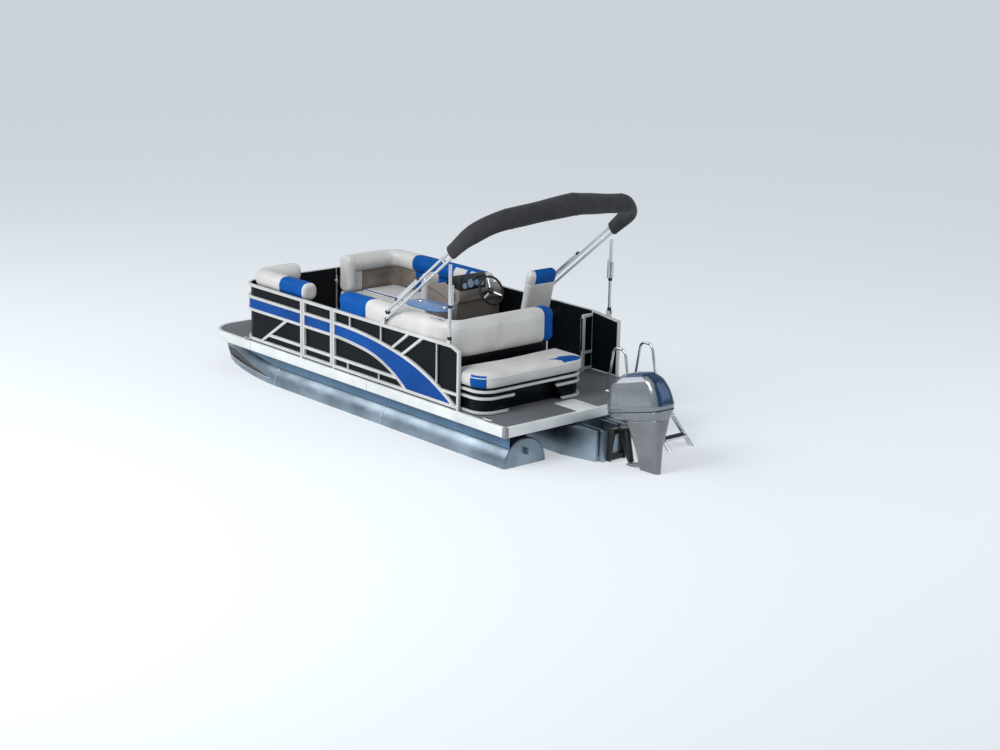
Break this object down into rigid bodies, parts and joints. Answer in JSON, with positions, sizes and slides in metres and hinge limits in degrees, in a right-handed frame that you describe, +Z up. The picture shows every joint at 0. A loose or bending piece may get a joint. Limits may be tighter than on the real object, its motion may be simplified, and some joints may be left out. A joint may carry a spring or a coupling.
{
  "type": "pontoon boat",
  "caption": "Small twin-tube pontoon boat with railed deck, wrap-round seats, helm console, folding top stowed on poles, boarding ladder and tilting outboard motor.",
  "frame": {"origin": "on the water plane, on the centreline, half way along the deck", "axes": "+X to the bow, +Y to port, +Z up"},
  "size_m": [6.8613, 2.4504, 3.1641],
  "materials": {
    "hull_aluminium": "mill finish",
    "frame_aluminium": "mill finish",
    "edge_aluminium": "satin powder coat",
    "skirt_aluminium": "dull mill finish",
    "deck_vinyl": "woven vinyl",
    "rail_aluminium": "satin anodised",
    "dark_panel": "gloss coat",
    "seat_vinyl": "marine vinyl",
    "console_plastic": "moulded",
    "dash_plastic": "moulded",
    "leg_aluminium": "anodised",
    "table_plastic": "moulded",
    "boot_fabric": "woven",
    "ladder_steel": "polished",
    "motor_black": "satin",
    "motor_grey": "metallic",
    "prop_aluminium": "satin"
  },
  "bodies": {
    "hull": {"bench_base": "dark_panel", "bench_rails": "rail_aluminium", "bench_seat": "seat_vinyl", "console": "console_plastic", "couch_port_back": "seat_vinyl", "couch_port_seat": "seat_vinyl", "couch_starboard_back": "seat_vinyl", "couch_starboard_rest": "seat_vinyl", "couch_starboard_seat": "seat_vinyl", "cross_members": "frame_aluminium", "dash_hood": "dash_plastic", "deck": "deck_vinyl", "deck_edge": "edge_aluminium", "fence_aft_port": "rail_aluminium", "fence_aft_starboard": "rail_aluminium", "fence_bow_port": "rail_aluminium", "fence_bow_starboard": "rail_aluminium", "fence_stern": "rail_aluminium", "helm_back": "seat_vinyl", "helm_pedestal": "leg_aluminium", "helm_seat": "seat_vinyl", "ladder_rails": "ladder_steel", "lounge_back": "seat_vinyl", "lounge_divider": "dark_panel", "lounge_seat": "seat_vinyl", "motor_pod": "hull_aluminium", "outboard_clamp": "motor_black", "panel_aft_port": "dark_panel", "panel_aft_starboard": "dark_panel", "panel_bow_port": "dark_panel", "panel_bow_starboard": "dark_panel", "pontoon_port": "hull_aluminium", "pontoon_starboard": "hull_aluminium", "side_skirts": "skirt_aluminium", "table_leg": "leg_aluminium", "table_top": "table_plastic", "tow_eyes": "frame_aluminium"},
    "gate_port": {"gate_port_frame": "rail_aluminium", "gate_port_panel": "dark_panel"},
    "gate_bow": {"gate_bow_frame": "rail_aluminium", "gate_bow_panel": "dark_panel"},
    "gate_stern": {"gate_stern_frame": "rail_aluminium", "gate_stern_panel": "dark_panel"},
    "wheel": {"steering_wheel": "dash_plastic"},
    "folding_top": {"bimini_bows": "leg_aluminium", "bimini_boot": "boot_fabric"},
    "pole_port": {"pole_port": "leg_aluminium"},
    "pole_starboard": {"pole_starboard": "leg_aluminium"},
    "ladder": {"ladder_steps": "ladder_steel"},
    "swivel": {"outboard_swivel": "motor_black"},
    "outboard": {"outboard_leg": "motor_grey", "outboard_cowling": "motor_grey"},
    "propeller": {"propeller": "prop_aluminium"}
  },
  "joints": [
    {"name": "gate_port_hinge", "type": "hinge", "parent": "hull", "child": "gate_port", "pos_m": [0.813, 1.145, 0.465], "axis": [0, 0, 1], "range_deg": [0, 90]},
    {"name": "gate_bow_hinge", "type": "hinge", "parent": "hull", "child": "gate_bow", "pos_m": [2.015, -0.202, 0.465], "axis": [0, 0, 1], "range_deg": [0, 90]},
    {"name": "gate_stern_hinge", "type": "hinge", "parent": "hull", "child": "gate_stern", "pos_m": [-1.553, -0.469, 0.465], "axis": [0, 0, -1], "range_deg": [0, 90]},
    {"name": "steering_wheel_turn", "type": "hinge", "parent": "hull", "child": "wheel", "pos_m": [-0.18, -0.84, 1.185], "axis": [0.9063, 0, -0.4226], "range_deg": [-540, 540]},
    {"name": "folding_top_raise", "type": "hinge", "parent": "hull", "child": "folding_top", "pos_m": [-0.71, 0, 1.199], "axis": [0, 1, 0], "range_deg": [0, 50]},
    {"name": "pole_port_fold", "type": "hinge", "parent": "hull", "child": "pole_port", "pos_m": [-1.831, 1.175, 1.191], "axis": [0, -1, 0], "range_deg": [0, 80]},
    {"name": "pole_starboard_fold", "type": "hinge", "parent": "hull", "child": "pole_starboard", "pos_m": [-1.831, -1.175, 1.191], "axis": [0, -1, 0], "range_deg": [0, 80]},
    {"name": "ladder_fold", "type": "hinge", "parent": "hull", "child": "ladder", "pos_m": [-2.83, -0.85, 0.445], "axis": [0, 1, 0], "range_deg": [0, 130]},
    {"name": "outboard_tilt", "type": "hinge", "parent": "hull", "child": "swivel", "pos_m": [-3.24, 0, 0.33], "axis": [0, 1, 0], "range_deg": [-13, 47]},
    {"name": "outboard_steer", "type": "hinge", "parent": "swivel", "child": "outboard", "pos_m": [-3.3764, 0, 0.22808], "axis": [0.225, 0, 0.9744], "range_deg": [-35, 35]},
    {"name": "propeller_spin", "type": "hinge", "parent": "outboard", "child": "propeller", "pos_m": [-3.8936, 0, -0.21185], "axis": [0.9744, 0, -0.225], "continuous": true}
  ],
  "couplings": [
    {"joint": "steering_wheel_turn", "follows": "outboard_steer", "ratio": 14}
  ]
}
